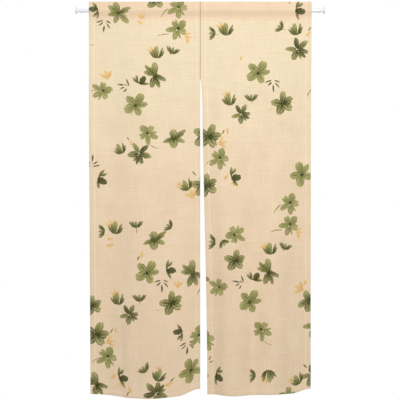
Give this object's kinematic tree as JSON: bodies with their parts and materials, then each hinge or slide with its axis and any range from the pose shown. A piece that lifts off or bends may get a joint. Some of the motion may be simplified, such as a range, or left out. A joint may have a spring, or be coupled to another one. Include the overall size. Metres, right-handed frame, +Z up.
{
  "type": "noren curtain with tension rod",
  "caption": "Noren door curtain of flower-printed cloth, split down the middle below a short seam, with a standing header and rod pocket, hung on a slim white tension rod with flared end caps.",
  "frame": {"origin": "the middle of the rod's axis, where the curtain hangs between two jambs", "axes": "+X along the rod to the right as seen from the room, -Y towards the room and the printed face, +Z up"},
  "size_m": [0.952, 0.0398, 1.5129],
  "materials": {
    "cloth": "matte slub weave, printed with green flowers",
    "rod": "white gloss",
    "end_cap": "satin"
  },
  "bodies": {
    "root": {"panel_left": "cloth", "panel_right": "cloth", "rod": "rod", "end_cap_left": "end_cap", "end_cap_right": "end_cap"}
  },
  "joints": []
}
